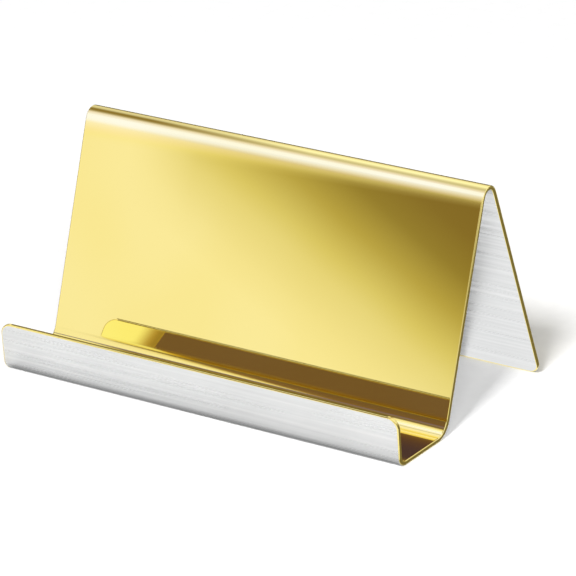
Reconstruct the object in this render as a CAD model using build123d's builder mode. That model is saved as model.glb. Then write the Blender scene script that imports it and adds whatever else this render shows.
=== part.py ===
from build123d import *
import os
from math import cos, radians, sin, tan

os.makedirs("parts", exist_ok=True)

# A business card stand folded from one sheet: a low lip, a flat tray, a backrest that leans back,
# and past a tight fold at the top a rear leg that comes down to the desk.
# The underside of the sheet is brushed steel, and the card side is plated with mirror gold.
# Millimetres, +X along the fold, +Y to the back, +Z up.
# The origin is on the desk, midway along the fold and midway from front to back.

# Sheet
stand_width = 95.0
steel_thickness = 0.8
plating_thickness = 0.1
corner_radius = 2.5

# Fold, along the brushed side from one sharp corner to the next, with leans in degrees from upright
lip_length = 10.5
lip_lean = 4.0
tray_depth = 17.0
backrest_length = 51.8
backrest_lean = 18.5
leg_lean = 21.0

# Inside radius of each bend: card side at the tray, brushed side at the top
front_bend_radius = 1.3
rear_bend_radius = 4.0
top_fold_radius = 1.8

# Runs and heights of the slanting panels
sheet_thickness = steel_thickness + plating_thickness
lip_overhang = lip_length * sin(radians(lip_lean))
lip_height = lip_length * cos(radians(lip_lean))
backrest_run = backrest_length * sin(radians(backrest_lean))
fold_height = backrest_length * cos(radians(backrest_lean))
leg_run = fold_height * tan(radians(leg_lean))
foot_run = sheet_thickness * cos(radians(leg_lean))

# Corners of the fold from front to back, with the stand's depth centred on the origin
stand_depth = lip_overhang + tray_depth + backrest_run + leg_run + foot_run
lip_end_y = -stand_depth / 2
front_corner_y = lip_end_y + lip_overhang
rear_corner_y = front_corner_y + tray_depth
fold_corner_y = rear_corner_y + backrest_run
foot_end_y = fold_corner_y + leg_run
brushed_corners = [
    (lip_end_y, lip_height),
    (front_corner_y, 0),
    (rear_corner_y, 0),
    (fold_corner_y, fold_height),
    (foot_end_y, 0),
]
brushed_radii = [
    front_bend_radius + sheet_thickness,
    rear_bend_radius + sheet_thickness,
    top_fold_radius,
]

# Brushed steel sheet: the folded blank that carries the stand, with its four corners rounded
with BuildPart() as brushed_steel_sheet:
    with BuildSketch(Plane.YZ):
        with BuildLine():
            FilletPolyline(brushed_corners, radius=brushed_radii)
            offset(amount=steel_thickness, side=Side.LEFT)
        make_face()
    extrude(amount=stand_width / 2, both=True)
    sheet_corners = brushed_steel_sheet.edges().group_by(SortBy.LENGTH)[0]
    fillet(sheet_corners, radius=corner_radius)

brushed_steel_sheet.part.label = "brushed_steel_sheet"
export_step(brushed_steel_sheet.part, "parts/brushed_steel_sheet.step")

# Gold mirror plating: a skin on the card side of the sheet, from the lip over the fold to the foot
with BuildPart() as gold_mirror_plating:
    with BuildSketch(Plane.YZ):
        with BuildLine():
            FilletPolyline(brushed_corners, radius=brushed_radii)
            offset(amount=sheet_thickness, side=Side.LEFT)
        make_face()
        with BuildLine():
            FilletPolyline(brushed_corners, radius=brushed_radii)
            offset(amount=steel_thickness, side=Side.LEFT)
        make_face(mode=Mode.SUBTRACT)
    extrude(amount=stand_width / 2, both=True)
    plating_corners = gold_mirror_plating.edges().group_by(SortBy.LENGTH)[0]
    fillet(plating_corners, radius=corner_radius)

gold_mirror_plating.part.label = "gold_mirror_plating"
export_step(gold_mirror_plating.part, "parts/gold_mirror_plating.step")
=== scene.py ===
import bpy
from math import cos, pi, radians, sin, sqrt, tan
from mathutils import Matrix, Vector


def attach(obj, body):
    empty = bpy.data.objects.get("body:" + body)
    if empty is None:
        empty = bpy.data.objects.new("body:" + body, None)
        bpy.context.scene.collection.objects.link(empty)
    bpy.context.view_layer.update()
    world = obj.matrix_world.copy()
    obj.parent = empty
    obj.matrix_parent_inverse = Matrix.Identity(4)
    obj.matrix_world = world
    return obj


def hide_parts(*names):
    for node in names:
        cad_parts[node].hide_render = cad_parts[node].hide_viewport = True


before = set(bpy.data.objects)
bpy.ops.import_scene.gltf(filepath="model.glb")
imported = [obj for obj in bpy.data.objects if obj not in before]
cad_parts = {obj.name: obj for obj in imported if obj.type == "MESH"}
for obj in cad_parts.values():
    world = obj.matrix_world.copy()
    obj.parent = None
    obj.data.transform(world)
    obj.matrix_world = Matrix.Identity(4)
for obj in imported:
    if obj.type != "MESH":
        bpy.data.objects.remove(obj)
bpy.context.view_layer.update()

# A business card stand bent from one blank: lip, tray, backrest, fold and rear leg.
# The card side and the cut edges are plated mirror gold, and the other side is brushed steel.
millimetre = 0.001
noiseLow, noiseHigh = 0.3, 0.7         # a noise texture seldom leaves this range


def hexToLinear(hexColour):
    channels = [int(hexColour[i:i + 2], 16) / 255 for i in (1, 3, 5)]
    linear = [c / 12.92 if c <= 0.04045 else ((c + 0.055) / 1.055) ** 2.4 for c in channels]
    return (*linear, 1.0)


def addNode(tree, kind, settings=None, links=None):
    # settings go to the node or, where it has no such setting, to its input socket
    node = tree.nodes.new(kind)
    for name, value in (settings or {}).items():
        if isinstance(name, str) and hasattr(node, name):
            setattr(node, name, value)
        else:
            node.inputs[name].default_value = value
    for name, source in (links or {}).items():
        tree.links.new(source, node.inputs[name])
    return node


def setStops(ramp, stops):
    elements = ramp.color_ramp.elements
    while len(elements) < len(stops):
        elements.new(1.0)
    for element, (place, colour) in zip(elements, stops):
        element.position = place
        element.color = colour


def newMaterial(name):
    material = bpy.data.materials.new(name)
    material.use_nodes = True
    material.node_tree.nodes.clear()
    return material, material.node_tree


# The blank, in millimetres and degrees, as the CAD has it
blank = {
    "width": 95.0,
    "thickness": 0.9,
    "steelThickness": 0.8,
    "cornerRadius": 2.5,
    "edgeRound": 0.3,          # cut edges are eased before plating
    "seam": 0.01,              # where the plating's rim meets the brushed face
    "lipLength": 10.5,
    "lipLean": 4.0,
    "trayDepth": 17.0,
    "backrestLength": 51.8,
    "backrestLean": 18.5,
    "legLean": 21.0,
    "frontBendRadius": 1.3,    # card side
    "rearBendRadius": 4.0,     # card side
    "topFoldRadius": 1.8,      # brushed side
    "foldLeadTurn": 6.0,       # the bend eases in and out of the fold over this turn
    "foldLeadRatio": 6.0,      # at this many times the fold's own radius
    "bendReach": (1.5, 0.3, 1.5),          # how far the stretched metal runs past each bend
    "bendRoughness": (0.07, 0.05, 0.07),   # and how much duller it is
    "rows": {                  # how many mesh rows each stretch has, and each corner and eased edge
        "lip": 8, "frontBend": 20, "tray": 12, "rearBend": 36, "backrest": 80,
        "foldLead": 14, "fold": 44, "leg": 80, "corner": 9, "edge": 5,
    },
    "rowGap": 0.05,            # a row nearer than this to a rounded corner is left out
}


def arcStep(radius, turn, heading):
    # how far an arc that starts along that heading carries the line
    side = 1 if turn > 0 else -1
    stepY = side * radius * (sin(heading + turn) - sin(heading))
    stepZ = side * radius * (cos(heading) - cos(heading + turn))
    return stepY, stepZ


def bendEnd(arcs):
    # end point of a run of arcs that starts at the origin along +Y
    y, z, heading = 0.0, 0.0, 0.0
    for radius, turn in arcs:
        stepY, stepZ = arcStep(radius, turn, heading)
        y += stepY
        z += stepZ
        heading += turn
    return y, z


def bendTangent(arcs):
    # distance from the sharp corner to where a symmetric bend begins
    y, z = bendEnd(arcs)
    halfTurn = abs(sum(turn for radius, turn in arcs)) / 2
    return sqrt(y * y + z * z) / 2 / cos(halfTurn)


def easedFold(radius, turn, leadTurn, leadRatio):
    # the same crest as a plain arc of that radius, with a softer start and end
    def foldArcs(size):
        lead = (leadRatio * size, -leadTurn)
        return [lead, (size, -(turn - 2 * leadTurn)), lead]

    unitTangent = bendTangent(foldArcs(1.0))
    middleY, middleZ = bendEnd([(leadRatio, -leadTurn), (1.0, -(turn / 2 - leadTurn))])
    unitDrop = sqrt((unitTangent - middleY) ** 2 + middleZ ** 2)
    plainDrop = radius * (1 / cos(turn / 2) - 1)
    return foldArcs(plainDrop / unitDrop)


def foldedRun(sheet):
    # straight and bent stretches of the brushed side, from the lip's top to the foot
    thickness = sheet["thickness"]
    rows = sheet["rows"]
    lipLean = radians(sheet["lipLean"])
    backrestLean = radians(sheet["backrestLean"])
    legLean = radians(sheet["legLean"])
    frontBend = [(sheet["frontBendRadius"] + thickness, pi / 2 - lipLean)]
    rearBend = [(sheet["rearBendRadius"] + thickness, pi / 2 - backrestLean)]
    topFold = easedFold(sheet["topFoldRadius"], pi - backrestLean - legLean,
                        radians(sheet["foldLeadTurn"]), sheet["foldLeadRatio"])
    frontTangent, rearTangent, topTangent = [bendTangent(bend) for bend in (frontBend, rearBend, topFold)]
    foldHeight = sheet["backrestLength"] * cos(backrestLean)
    legLength = foldHeight / cos(legLean)
    lipY = sheet["lipLength"] * sin(lipLean)
    backY = sheet["backrestLength"] * sin(backrestLean)
    legY = foldHeight * tan(legLean)
    footY = thickness * cos(legLean)
    depth = lipY + sheet["trayDepth"] + backY + legY + footY
    start = (-depth / 2, sheet["lipLength"] * cos(lipLean))
    stretches = [(None, sheet["lipLength"] - frontTangent, rows["lip"])]
    stretches += [(radius, turn, rows["frontBend"]) for radius, turn in frontBend]
    stretches += [(None, sheet["trayDepth"] - frontTangent - rearTangent, rows["tray"])]
    stretches += [(radius, turn, rows["rearBend"]) for radius, turn in rearBend]
    stretches += [(None, sheet["backrestLength"] - rearTangent - topTangent, rows["backrest"])]
    foldRows = (rows["foldLead"], rows["fold"], rows["foldLead"])
    stretches += [(radius, turn, steps) for (radius, turn), steps in zip(topFold, foldRows)]
    stretches += [(None, legLength - topTangent, rows["leg"])]
    return start, lipLean - pi / 2, stretches


foldStart, foldHeading, foldStretches = foldedRun(blank)


def stretchLength(radius, size):
    # a straight stretch has no radius and its size is its length, and a bend's size is its turn
    return size if radius is None else radius * abs(size)


def foldLength():
    return sum(stretchLength(radius, size) for radius, size, steps in foldStretches)


def foldPlace(run):
    # point and heading on the brushed side at a distance along the blank from the lip's top
    y, z = foldStart
    heading = foldHeading
    for i, (radius, size, steps) in enumerate(foldStretches):
        length = stretchLength(radius, size)
        last = i == len(foldStretches) - 1
        part = run if run <= length or last else length
        if radius is None:
            y += part * cos(heading)
            z += part * sin(heading)
        else:
            turn = part / radius if size > 0 else -part / radius
            stepY, stepZ = arcStep(radius, turn, heading)
            y += stepY
            z += stepZ
            heading += turn
        run -= part
        if run <= 0:
            break
    return y, z, heading


def bendDullness(run, sheet):
    # roughness that a bend adds where the metal was stretched, easing to 0 on the flats
    dullness, start, bend = 0.0, 0.0, -1
    wasBend = False
    for radius, size, steps in foldStretches:
        length = stretchLength(radius, size)
        if radius is not None:
            bend += 0 if wasBend else 1
            away = max(start - run, run - start - length, 0.0)
            near = max(1 - away / sheet["bendReach"][bend], 0.0)
            eased = near * near * (3 - 2 * near)
            dullness = max(dullness, sheet["bendRoughness"][bend] * eased)
        wasBend = radius is not None
        start += length
    return dullness


def blankRows(sheet, inset):
    # right-hand outline of the flat blank: distance along it, half width, and which way is outward
    length = foldLength()
    half = sheet["width"] / 2
    corner = sheet["cornerRadius"]
    clear = corner + sheet["rowGap"]
    reach = corner - inset
    cornerRows = sheet["rows"]["corner"]
    cornerTurns = [pi / 2 * step / cornerRows for step in range(cornerRows + 1)]
    rows = []
    for turn in cornerTurns:
        rows.append((corner - reach * cos(turn), half - corner + reach * sin(turn), -cos(turn), sin(turn)))
    run = 0.0
    for radius, size, steps in foldStretches:
        stretch = stretchLength(radius, size)
        for step in range(1, steps + 1):
            place = run + stretch * step / steps
            if clear < place < length - clear:
                rows.append((place, half - inset, 0.0, 1.0))
        run += stretch
    for turn in cornerTurns:
        place = length - corner + reach * sin(turn)
        rows.append((place, half - corner + reach * cos(turn), sin(turn), cos(turn)))
    return rows


def foldedShell(name, sheet, rings):
    # closed skin through rings round the blank's outline
    # a ring is its inset, its height over the brushed side and the tilt of its normal
    points, normals, flats, dulls, faces = [], [], [], [], []
    for inset, height, tilt in rings:
        right = blankRows(sheet, inset)
        sides = [(row, 1) for row in right] + [(row, -1) for row in reversed(right)]
        for (run, half, outRun, outSide), side in sides:
            y, z, heading = foldPlace(run)
            along = Vector((0, cos(heading), sin(heading)))
            over = Vector((0, -sin(heading), cos(heading)))
            place = Vector((side * half, y, z)) + over * height
            points.append(place * millimetre)
            outward = along * outRun + Vector((side * outSide, 0, 0))
            normals.append((outward * cos(tilt) + over * sin(tilt)).normalized())
            flats += [side * half, run, height]
            dulls.append(bendDullness(run, sheet))
    around = len(points) // len(rings)
    rowCount = around // 2
    for ring in range(len(rings) - 1):
        first, second = ring * around, (ring + 1) * around
        for i in range(around):
            j = (i + 1) % around
            faces.append((first + i, second + i, second + j, first + j))
    for first, flip in ((0, False), ((len(rings) - 1) * around, True)):
        for i in range(rowCount - 1):
            a, b = first + i, first + i + 1
            c, d = first + around - 2 - i, first + around - 1 - i
            faces.append((d, c, b, a) if flip else (a, b, c, d))
    mesh = bpy.data.meshes.new(name)
    mesh.from_pydata(points, [], faces)
    mesh.polygons.foreach_set("use_smooth", [True] * len(mesh.polygons))
    mesh.normals_split_custom_set_from_vertices(normals)
    mesh.attributes.new("blankMm", "FLOAT_VECTOR", "POINT").data.foreach_set("vector", flats)
    mesh.attributes.new("bendRoughness", "FLOAT", "POINT").data.foreach_set("value", dulls)
    mesh.update()
    piece = bpy.data.objects.new(name, mesh)
    bpy.context.scene.collection.objects.link(piece)
    return piece


# Gold plating over the card side and round the cut edges, with a pocket that the brushed sheet lies in
def platingRings(sheet):
    edge, thickness = sheet["edgeRound"], sheet["thickness"]
    edgeRows = sheet["rows"]["edge"]
    rings = []
    for step in range(edgeRows + 1):
        tilt = pi / 2 * (1 - step / edgeRows)
        rings.append((edge - edge * cos(tilt), thickness - edge + edge * sin(tilt), tilt))
    for step in range(edgeRows + 1):
        tilt = -pi / 2 * step / edgeRows
        rings.append((edge - edge * cos(tilt), edge + edge * sin(tilt), tilt))
    rings.append((edge, sheet["steelThickness"], -pi / 2))
    return rings


def brushedRings(sheet):
    inset = sheet["edgeRound"] + sheet["seam"]
    return [(inset, sheet["steelThickness"] - sheet["seam"], pi / 2), (inset, 0.0, -pi / 2)]


# Stainless steel brushed along the fold: fine bright and dull lines, and a painted sheen, broad lighter and
# darker patches in its colour that drift along it
brushedSteel = {
    "dullLine": "#D0D1D1",
    "steel": "#E3E4E4",
    "brightLine": "#F6F6F6",
    "toneStops": (0.26, 0.5, 0.74),        # where those three lie in the noise
    "lineSpacing": 0.8,        # real brush lines are about 0.1 mm apart, drawn coarser so that they show
    "lineLength": 60.0,
    "lineDepth": 0.004,
    "bump": 0.05,
    "sheenLength": 28.0,       # along the fold
    "sheenHeight": 112.0,      # down the sheet
    "sheenShare": 0.45,
    "roughness": (0.24, 0.38),
    "anisotropy": 0.7,
}


def makeBrushedSteel(look):
    material, tree = newMaterial("stainlessSteelBrushed")
    flat = addNode(tree, "ShaderNodeAttribute", {"attribute_name": "blankMm"}).outputs["Vector"]
    lineSize = (1 / look["lineLength"], 1 / look["lineSpacing"], 1.0)
    sheenSize = (1 / look["sheenLength"], 1 / look["sheenHeight"], 1.0)
    lineRun = addNode(tree, "ShaderNodeVectorMath", {"operation": "MULTIPLY", 1: lineSize}, {0: flat})
    sheenRun = addNode(tree, "ShaderNodeVectorMath", {"operation": "MULTIPLY", 1: sheenSize}, {0: flat})
    lines = addNode(tree, "ShaderNodeTexNoise", {"Scale": 1.0, "Detail": 1.0, "Roughness": 0.5},
                    {"Vector": lineRun.outputs[0]}).outputs["Fac"]
    # painted sheen: broad lighter and darker patches of reflection drawn into the base colour
    sheen = addNode(tree, "ShaderNodeTexNoise", {"Scale": 1.0, "Detail": 1.0, "Roughness": 0.5},
                    {"Vector": sheenRun.outputs[0]}).outputs["Fac"]
    tone = addNode(tree, "ShaderNodeMix", {"data_type": "FLOAT", "Factor": look["sheenShare"]},
                   {"A": lines, "B": sheen})
    colour = addNode(tree, "ShaderNodeValToRGB", None, {"Fac": tone.outputs["Result"]})
    tones = [hexToLinear(look[name]) for name in ("dullLine", "steel", "brightLine")]
    setStops(colour, list(zip(look["toneStops"], tones)))
    low, high = look["roughness"]
    rough = addNode(tree, "ShaderNodeMapRange",
                    {"From Min": noiseLow, "From Max": noiseHigh, "To Min": low, "To Max": high},
                    {"Value": lines})
    bump = addNode(tree, "ShaderNodeBump",
                   {"Strength": look["bump"], "Distance": look["lineDepth"] * millimetre},
                   {"Height": lines})
    across = addNode(tree, "ShaderNodeTangent", {"direction_type": "RADIAL", "axis": "X"})
    shader = addNode(tree, "ShaderNodeBsdfPrincipled",
                     {"Metallic": 1.0, "Anisotropic": look["anisotropy"]},
                     {"Base Color": colour.outputs["Color"], "Roughness": rough.outputs["Result"],
                      "Normal": bump.outputs["Normal"], "Tangent": across.outputs["Tangent"]})
    addNode(tree, "ShaderNodeOutputMaterial", None, {"Surface": shader.outputs["BSDF"]})
    return material


# Gold plating on polished steel: a clear mirror, with the slight wave of thin sheet and duller bends
mirrorGold = {
    "deepGold": "#FAE893",
    "gold": "#FBEA99",
    "toneStops": (0.35, 0.65),             # where those two lie in the noise
    "polishSpacing": 0.6,      # polishing lines are far finer, drawn coarser so that they show
    "polishLength": 24.0,
    "waveLength": 22.0,
    "waveDepth": 0.002,
    "bump": 0.05,
    "roughness": (0.018, 0.028),
}


def makeMirrorGold(look):
    material, tree = newMaterial("goldPlatingPolished")
    flat = addNode(tree, "ShaderNodeAttribute", {"attribute_name": "blankMm"}).outputs["Vector"]
    bend = addNode(tree, "ShaderNodeAttribute", {"attribute_name": "bendRoughness"}).outputs["Fac"]
    polishSize = (1 / look["polishLength"], 1 / look["polishSpacing"], 1.0)
    waveSize = (1 / look["waveLength"],) * 3
    polishRun = addNode(tree, "ShaderNodeVectorMath", {"operation": "MULTIPLY", 1: polishSize}, {0: flat})
    waveRun = addNode(tree, "ShaderNodeVectorMath", {"operation": "MULTIPLY", 1: waveSize}, {0: flat})
    polish = addNode(tree, "ShaderNodeTexNoise", {"Scale": 1.0, "Detail": 3.0, "Roughness": 0.6},
                     {"Vector": polishRun.outputs[0]}).outputs["Fac"]
    wave = addNode(tree, "ShaderNodeTexNoise", {"Scale": 1.0, "Detail": 0.0},
                   {"Vector": waveRun.outputs[0]}).outputs["Fac"]
    colour = addNode(tree, "ShaderNodeValToRGB", None, {"Fac": wave})
    tones = [hexToLinear(look[name]) for name in ("deepGold", "gold")]
    setStops(colour, list(zip(look["toneStops"], tones)))
    low, high = look["roughness"]
    clear = addNode(tree, "ShaderNodeMapRange",
                    {"From Min": noiseLow, "From Max": noiseHigh, "To Min": low, "To Max": high},
                    {"Value": polish})
    rough = addNode(tree, "ShaderNodeMath", {"operation": "ADD"}, {0: bend, 1: clear.outputs["Result"]})
    bump = addNode(tree, "ShaderNodeBump",
                   {"Strength": look["bump"], "Distance": look["waveDepth"] * millimetre},
                   {"Height": wave})
    shader = addNode(tree, "ShaderNodeBsdfPrincipled", {"Metallic": 1.0},
                     {"Base Color": colour.outputs["Color"], "Roughness": rough.outputs[0],
                      "Normal": bump.outputs["Normal"]})
    addNode(tree, "ShaderNodeOutputMaterial", None, {"Surface": shader.outputs["BSDF"]})
    return material


goldPlating = foldedShell("goldPlating", blank, platingRings(blank))
goldPlating.data.materials.append(makeMirrorGold(mirrorGold))
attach(goldPlating, "root")
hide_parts("gold_mirror_plating")
print("gold plating made,", len(goldPlating.data.polygons), "faces")

brushedSheet = foldedShell("brushedSheet", blank, brushedRings(blank))
brushedSheet.data.materials.append(makeBrushedSteel(brushedSteel))
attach(brushedSheet, "root")
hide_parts("brushed_steel_sheet")
print("brushed sheet made,", len(brushedSheet.data.polygons), "faces")


# Camera at the photograph's angle, in millimetres and degrees
cameraView = {
    "target": (3.647, 1.692, 18.368),
    "distance": 776.61,
    "azimuth": 34.41,          # round to the right of straight ahead
    "elevation": 22.15,
    "roll": 1.659,
    "lens": 242.82,
    "sensor": 36.0,
    "clipStart": 10.0,
}


def placeCamera(view):
    azimuth, elevation, roll = [radians(view[name]) for name in ("azimuth", "elevation", "roll")]
    forward = Vector((-sin(azimuth) * cos(elevation), cos(azimuth) * cos(elevation), -sin(elevation)))
    flatRight = forward.cross(Vector((0, 0, 1))).normalized()
    flatDown = forward.cross(flatRight)
    right = flatRight * cos(roll) + flatDown * sin(roll)
    up = right.cross(forward)
    data = bpy.data.cameras.new("photoCamera")
    data.lens = view["lens"]
    data.sensor_width = view["sensor"]
    data.clip_start = view["clipStart"] * millimetre
    camera = bpy.data.objects.new("photoCamera", data)
    turn = Matrix((right, up, -forward)).transposed().to_4x4()
    turn.translation = (Vector(view["target"]) - forward * view["distance"]) * millimetre
    camera.matrix_world = turn
    bpy.context.scene.collection.objects.link(camera)
    bpy.context.scene.camera = camera


placeCamera(cameraView)
print("camera placed,", cameraView["distance"], "mm from the stand")


# Plain white floor that keeps the stand's shadow
floorLook = {
    "size": 8000.0,
    "paper": "#F4F4F4",
    "paperShade": "#F1F1F1",
    "fibre": 3.0,
    "lift": 0.07,              # white to the camera and in the metal
}


def seenRays(tree):
    # 1 for rays from the camera and from mirrors, 0 for light that falls on the stand
    path = addNode(tree, "ShaderNodeLightPath")
    seen = path.outputs["Is Camera Ray"]
    for kind in ("Is Glossy Ray", "Is Transmission Ray"):
        either = addNode(tree, "ShaderNodeMath", {"operation": "MAXIMUM"}, {0: seen, 1: path.outputs[kind]})
        seen = either.outputs[0]
    return seen


def makePaper(look):
    material, tree = newMaterial("whitePaperFloor")
    place = addNode(tree, "ShaderNodeTexCoord").outputs["Object"]
    fibre = addNode(tree, "ShaderNodeTexNoise", {"Scale": 1 / (look["fibre"] * millimetre), "Detail": 2.0},
                    {"Vector": place})
    colour = addNode(tree, "ShaderNodeValToRGB", None, {"Fac": fibre.outputs["Fac"]})
    shade, paper = hexToLinear(look["paperShade"]), hexToLinear(look["paper"])
    setStops(colour, [(noiseLow, shade), (noiseHigh, paper)])
    lift = addNode(tree, "ShaderNodeMath", {"operation": "MULTIPLY", 1: look["lift"]}, {0: seenRays(tree)})
    matt = addNode(tree, "ShaderNodeBsdfDiffuse", None, {"Color": colour.outputs["Color"]})
    white = addNode(tree, "ShaderNodeEmission", None, {"Strength": lift.outputs[0]})
    surface = addNode(tree, "ShaderNodeAddShader", None, {0: matt.outputs[0], 1: white.outputs[0]})
    addNode(tree, "ShaderNodeOutputMaterial", None, {"Surface": surface.outputs[0]})
    return material


def layFloor(look):
    half = look["size"] / 2 * millimetre
    corners = [(-half, -half, 0), (half, -half, 0), (half, half, 0), (-half, half, 0)]
    mesh = bpy.data.meshes.new("floor")
    mesh.from_pydata(corners, [], [(0, 1, 2, 3)])
    mesh.materials.append(makePaper(look))
    floor = bpy.data.objects.new("floor", mesh)
    bpy.context.scene.collection.objects.link(floor)


layFloor(floorLook)
print("floor laid,", floorLook["size"], "mm square")


# World: white for the camera and for the mirror, softer as fill light
worldLook = {"white": "#FFFFFF", "fill": 0.22, "backdrop": 1.0}


def makeWorld(look):
    world = bpy.data.worlds.new("studioWhite")
    world.use_nodes = True
    tree = world.node_tree
    tree.nodes.clear()
    white = hexToLinear(look["white"])
    fill = addNode(tree, "ShaderNodeBackground", {"Color": white, "Strength": look["fill"]})
    backdrop = addNode(tree, "ShaderNodeBackground", {"Color": white, "Strength": look["backdrop"]})
    mixed = addNode(tree, "ShaderNodeMixShader", None,
                    {0: seenRays(tree), 1: fill.outputs[0], 2: backdrop.outputs[0]})
    addNode(tree, "ShaderNodeOutputWorld", None, {"Surface": mixed.outputs[0]})
    bpy.context.scene.world = world


makeWorld(worldLook)
print("world set, fill light", worldLook["fill"])


# Softboxes, in millimetres and watts: one over the front, and one by the camera that looks under the fold
softboxes = {
    "frontSoftbox": {"place": (800, -4500, 4740), "aim": (0, 10, 0), "size": 1200.0, "power": 385.0},
    "sideSoftbox": {"place": (3150, -4320, 3870), "aim": (0, 10, 0), "size": 2100.0, "power": 190.0},
}


def placeLamp(name, look):
    data = bpy.data.lights.new(name, "AREA")
    data.shape = "SQUARE"
    data.size = look["size"] * millimetre
    data.energy = look["power"]
    lamp = bpy.data.objects.new(name, data)
    place, aim = Vector(look["place"]) * millimetre, Vector(look["aim"]) * millimetre
    lamp.location = place
    lamp.rotation_euler = (aim - place).to_track_quat("-Z", "Y").to_euler()
    lamp.visible_glossy = False          # the cards below are what the mirror sees
    bpy.context.scene.collection.objects.link(lamp)


for lampName, lampLook in softboxes.items():
    placeLamp(lampName, lampLook)
print("softboxes placed,", len(softboxes))


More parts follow.
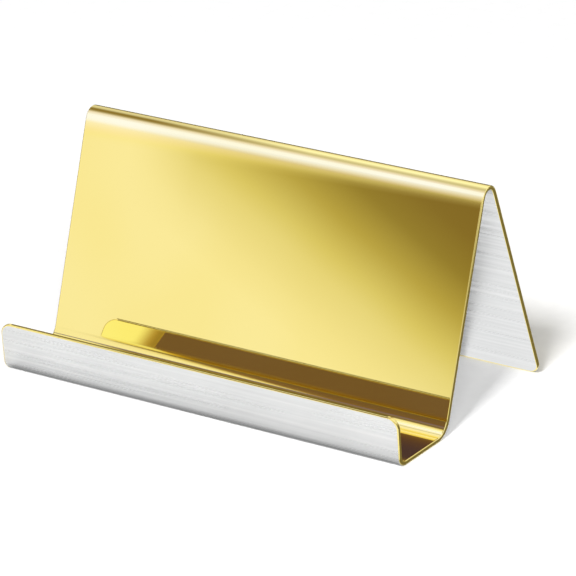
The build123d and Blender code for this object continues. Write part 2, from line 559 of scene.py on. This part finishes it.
# Studio cards that show only in the polished metal, in millimetres
studioCards = {
    # corners run from the bottom left, and paint is one colour or the colours from bottom to top
    # cover and sides are how solid a card is upwards and across
    "gradedCard": {            # front left: the backrest darkens towards its upper right corner
        "corners": [(-419, -552, 145), (-244, -677, 60), (-141, -696, 301), (-442, -480, 448)],
        "paint": [(0.0, "#FFFFFF"), (0.04, "#FAF9F2"), (0.1, "#ECE9CE"), (0.13, "#DFDAAB"),
                  (0.18, "#BDB275"), (0.23, "#988A52"), (0.28, "#897747"), (0.53, "#745E48")],
        "sides": [(0.0, 0.0), (0.12, 1.0), (0.68, 1.0), (1.0, 0.0)],
    },
    "gradedFront": {           # straight ahead, for the front view and the backrest's right edge
        "corners": [(-260, -760, 40), (300, -760, 40), (300, -760, 520), (-260, -760, 520)],
        "paint": [(0.0, "#FFFFFF"), (0.12, "#E6DDB0"), (0.3, "#A38E50"), (0.55, "#A8945A"),
                  (1.0, "#E8E0C0")],
        "cover": [(0.0, 0.0), (0.08, 1.0), (0.7, 1.0), (1.0, 0.0)],
        "sides": [(0.28, 0.0), (0.65, 1.0), (0.75, 1.0), (1.0, 0.0)],
    },
    "foldLight": {             # long light by the fold: its soft highlight
        "corners": [(-103, -12.6, 42.4), (67, -9.7, 46.7), (67, 1.4, 63.4), (-103, -1.5, 59)],
        "paint": [(0.08, "#A8A58C"), (0.14, "#A9A4AA"), (0.21, "#AAACCF"), (0.33, "#AAB4FB"),
                  (0.7, "#AAB3F6"), (0.85, "#A3A8DB"), (1.0, "#9C9CC0")],
        "cover": [(0.0, 0.0), (0.045, 0.1), (0.07, 0.23), (0.11, 0.46), (0.18, 0.67),
                  (0.28, 0.87), (0.43, 1.0)],
        "strength": 2.6,
    },
    "crestLight": {            # over the fold: the highlight's upper side and the line behind it
        "corners": [(-110, 2.9, 50), (60, 2.9, 50), (60, 10.6, 50), (-110, 10.6, 50)],
        "paint": [(0.03, "#B8BCF7"), (0.15, "#B2B1DB"), (0.28, "#A5A4B8"), (0.39, "#98979D"),
                  (0.5, "#A2A2A7"), (0.63, "#B6B9C7"), (0.78, "#C4CBD8"), (1.0, "#C4C6CA")],
        "strength": 2.0,
    },
    "crestShade": {            # darkens that line towards the left
        "corners": [(-100, 4, 49.8), (20, 4, 49.8), (20, 13, 49.8), (-100, 13, 49.8)],
        "paint": "#8C7945",
        "cover": [(0.0, 0.0), (0.055, 0.1), (0.11, 0.3), (0.17, 0.62), (0.26, 0.95), (0.37, 1.0),
                  (0.5, 0.72), (0.67, 0.35), (1.0, 0.3)],
        "sides": [(0.0, 1.0), (0.55, 1.0), (0.87, 0.0)],
    },
    "crestCard": {             # dark line along the crest of the fold
        "corners": [(-90, 20, 41), (80, 20, 41), (80, 20, 51), (-90, 20, 51)],
        "paint": "#7A7455",
        "cover": [(0.0, 0.0), (0.4, 1.0), (0.9, 1.0), (1.0, 0.0)],
        "sides": [(0.0, 0.0), (0.2, 1.0), (0.8, 1.0), (1.0, 0.0)],
    },
    "backCard": {              # behind: depth for the back of the leg
        "corners": [(-700, 400, 0), (700, 400, 0), (700, 400, 300), (-700, 400, 300)],
        "paint": [(0.0, "#8A846A"), (0.35, "#8A846A"), (0.6, "#B5A878"), (1.0, "#E8DFB8")],
        "cover": [(0.0, 0.8), (0.1, 1.0), (0.5, 1.0), (1.0, 0.0)],
        "sides": [(0.0, 0.0), (0.2, 1.0), (0.8, 1.0), (1.0, 0.0)],
    },
    "warmCard": {              # overhead: the rear bend goes from gold at its left end to brown
        "corners": [(-365, -769, 300), (112.5, -43, 300), (-50, 65, 300), (-529, -661, 300)],
        "paint": [(0.23, "#6F5A44"), (0.65, "#785E4A"), (0.785, "#816548"), (0.815, "#876A46"),
                  (0.833, "#9E7F50"), (0.846, "#BCA673"), (0.865, "#DCCE98"), (0.9, "#F3EBCB"),
                  (0.93, "#FBF8EA"), (1.0, "#FFFFFF")],
        "cover": [(0.0, 0.0), (0.23, 1.0)],
    },
    "coolStrip": {             # cool, because three gold bounces make it the brown of the mirrored lip
        "corners": [(-215, -108.3, 150), (-5, -108.3, 150), (-5, -96.9, 158.1), (-215, -96.9, 158.1)],
        "paint": [(0.0, "#7C6A58"), (0.1, "#7C6A68"), (0.16, "#7A72DC"), (0.57, "#7A72DC"),
                  (0.64, "#7C6C68"), (1.0, "#8E7C62")],
        "sides": [(0.0, 0.0), (0.24, 1.0), (0.76, 1.0), (1.0, 0.0)],
    },
    "trayStrip": {             # and darker for the tray
        "corners": [(-110, -81.7, 159.6), (-14, -81.7, 159.6), (-14, -74.6, 162.8), (-110, -74.6, 162.8)],
        "paint": [(0.0, "#7A6250"), (0.25, "#5D4A70"), (0.5, "#4F4283"), (1.0, "#4F4283")],
        "sides": [(0.0, 0.0), (0.4, 1.0), (0.69, 1.0), (1.0, 0.0)],
    },
    "warmStrip": {             # keeps that brown down to where the bend begins
        "corners": [(-160, -96.9, 158.1), (-5, -96.9, 158.1), (-5, -67.7, 179.1), (-160, -67.7, 179.1)],
        "paint": "#8E7C62",
        "sides": [(0.0, 0.0), (0.07, 1.0), (0.68, 1.0), (1.0, 0.0)],
    },
    "topLight": {              # overhead: the bright line of the rear bend
        "corners": [(-220, -55, 290), (-40, -55, 290), (-40, 60, 290), (-220, 60, 290)],
        "paint": "#D8E2FF",
        "cover": [(0.0, 0.0), (0.12, 0.4), (0.25, 1.0)],
        "strength": 1.6,
    },
    "leftBackCard": {          # behind on the left: the gold end of the mirrored lip
        "corners": [(-150, 130, 15), (-128, 130, 105), (-220, 130, 105), (-240, 130, 15)],
        "paint": [(0.0, "#6C5A56"), (0.03, "#938673"), (0.08, "#C6D6FF"), (1.0, "#C6D6FF")],
        "cover": [(0.0, 0.0), (0.02, 0.6), (0.06, 1.0), (0.3, 1.0), (1.0, 0.0)],
        "sides": [(0.0, 0.0), (0.32, 1.0), (0.56, 1.0), (1.0, 0.0)],
        "strength": 1.9,
    },
    "rightCard": {             # low on the right: dark right-hand edges
        "corners": [(47.55, -28, 0.02), (47.55, 140, 0.02), (150, 140, 24), (150, -28, 24)],
        "paint": "#7A7359",
        "cover": [(0.0, 1.0), (0.55, 1.0), (1.0, 0.0)],
        "sides": [(0.0, 1.0), (0.7, 1.0), (1.0, 0.0)],
    },
    "rightFrontCard": {        # and the right edge of the backrest
        "corners": [(95, 10, 0), (95, -60, 0), (95, -60, 60), (95, 10, 60)],
        "paint": "#7A7359",
        "cover": [(0.0, 1.0), (0.5, 1.0), (1.0, 0.0)],
        "sides": [(0.0, 0.0), (0.25, 1.0), (0.7, 1.0), (1.0, 0.0)],
    },
    "leftWall": {              # depth for the gold as seen from the right-hand end
        "corners": [(-600, 350, 0), (-600, -350, 0), (-600, -350, 800), (-600, 350, 800)],
        "paint": [(0.0, "#A08C48"), (0.7, "#A08C48"), (1.0, "#D8CCA0")],
        "cover": [(0.0, 1.0), (0.6, 1.0), (1.0, 0.0)],
        "sides": [(0.0, 0.0), (0.3, 1.0), (0.7, 1.0), (1.0, 0.0)],
    },
    "leftFloorCard": {         # low on the left: dark left-hand edges
        "corners": [(-600, -140, 0.05), (-48.5, -31, 0.05), (-48.5, 160, 0.05), (-600, 260, 0.05)],
        "paint": "#A08C48",
        "cover": [(0.0, 0.0), (0.03, 0.6), (0.12, 1.0), (0.75, 1.0), (1.0, 0.0)],
    },
    "lipEdgeCard": {           # dark line along the lip's top edge
        "corners": [(-45, -26.65, 10.65), (45, -26.65, 10.65), (45, -25.7, 10.65), (-45, -25.7, 10.65)],
        "paint": "#7E7230",
    },
    "lipFloorCard": {          # shade under the front bend of the lip
        "corners": [(-49, -36, 0.05), (49, -36, 0.05), (49, -23, 0.05), (-49, -23, 0.05)],
        "paint": [(0.0, "#D8D8D8"), (0.65, "#C0C0C0"), (0.8, "#989898"), (1.0, "#747474")],
        "cover": [(0.0, 0.0), (0.35, 0.35), (0.65, 0.8), (0.8, 1.0)],
        "sides": [(0.0, 0.0), (0.03, 1.0), (0.97, 1.0), (1.0, 0.0)],
    },
    "legFloorCard": {          # painted light: a bright sheet over the shaded floor under the fold, which the inside of the leg shows
        "corners": [(19.5, -11, 0.05), (60, -11, 0.05), (60, 28, 0.05), (29.8, 28, 0.05)],
        "paint": "#F6F6F6",
        "sides": [(0.0, 0.0), (0.04, 1.0)],
        "strength": 1.15,
    },
    "underBackCard": {         # and painted light behind the backrest, where it is shaded
        "corners": [(4, -6.6, 2), (47, -6.6, 2), (47, 6, 40), (-4, 6, 40)],
        "paint": [(0.0, "#DCDCDC"), (1.0, "#FFFFFF")],
        "sides": [(0.36, 0.0), (0.46, 1.0)],
        "strength": 1.4,
    },
}


def mirroredCard(look):
    # the same card on the other side of the stand
    bottomLeft, bottomRight, topRight, topLeft = [(-x, y, z) for x, y, z in look["corners"]]
    corners = [bottomRight, bottomLeft, topLeft, topRight]
    sides = [(1 - stop, share) for stop, share in reversed(look["sides"])]
    return {**look, "corners": corners, "sides": sides}


studioCards["gradedRight"] = mirroredCard(studioCards["gradedCard"])


def makeCardPaint(name, look):
    material, tree = newMaterial(name + "Paint")
    place = addNode(tree, "ShaderNodeAttribute", {"attribute_name": "cardPlace"}).outputs["Vector"]
    axes = addNode(tree, "ShaderNodeSeparateXYZ", None, {0: place})
    glow = addNode(tree, "ShaderNodeEmission", {"Strength": look.get("strength", 1.0)})
    if isinstance(look["paint"], str):
        glow.inputs["Color"].default_value = hexToLinear(look["paint"])
    else:
        paint = addNode(tree, "ShaderNodeValToRGB", None, {"Fac": axes.outputs["Y"]})
        setStops(paint, [(stop, hexToLinear(colour)) for stop, colour in look["paint"]])
        tree.links.new(paint.outputs["Color"], glow.inputs["Color"])
    surface = glow.outputs[0]
    for key, axis in (("cover", "Y"), ("sides", "X")):
        if key in look:
            solid = addNode(tree, "ShaderNodeValToRGB", None, {"Fac": axes.outputs[axis]})
            setStops(solid, [(stop, (share, share, share, 1)) for stop, share in look[key]])
            through = addNode(tree, "ShaderNodeBsdfTransparent")
            surface = addNode(tree, "ShaderNodeMixShader", None,
                              {0: solid.outputs["Color"], 1: through.outputs[0], 2: surface}).outputs[0]
    addNode(tree, "ShaderNodeOutputMaterial", None, {"Surface": surface})
    return material


def placeCard(name, look, steps=16):
    bottomLeft, bottomRight, topRight, topLeft = [Vector(corner) * millimetre for corner in look["corners"]]
    points, places, faces = [], [], []
    for row in range(steps + 1):
        for column in range(steps + 1):
            u, v = column / steps, row / steps
            points.append(bottomLeft.lerp(bottomRight, u).lerp(topLeft.lerp(topRight, u), v))
            places += [u, v, 0.0]
            if row and column:
                last = row * (steps + 1) + column
                faces.append((last - steps - 2, last - steps - 1, last, last - 1))
    mesh = bpy.data.meshes.new(name)
    mesh.from_pydata(points, [], faces)
    mesh.attributes.new("cardPlace", "FLOAT_VECTOR", "POINT").data.foreach_set("vector", places)
    mesh.materials.append(makeCardPaint(name, look))
    card = bpy.data.objects.new(name, mesh)
    card.visible_camera = False
    card.visible_diffuse = False
    card.visible_shadow = False
    card.visible_transmission = False
    bpy.context.scene.collection.objects.link(card)


for cardName, cardLook in studioCards.items():
    placeCard(cardName, cardLook)
print("studio cards placed,", len(studioCards))

bpy.context.scene.view_settings.view_transform = "Standard"
bpy.context.view_layer.update()
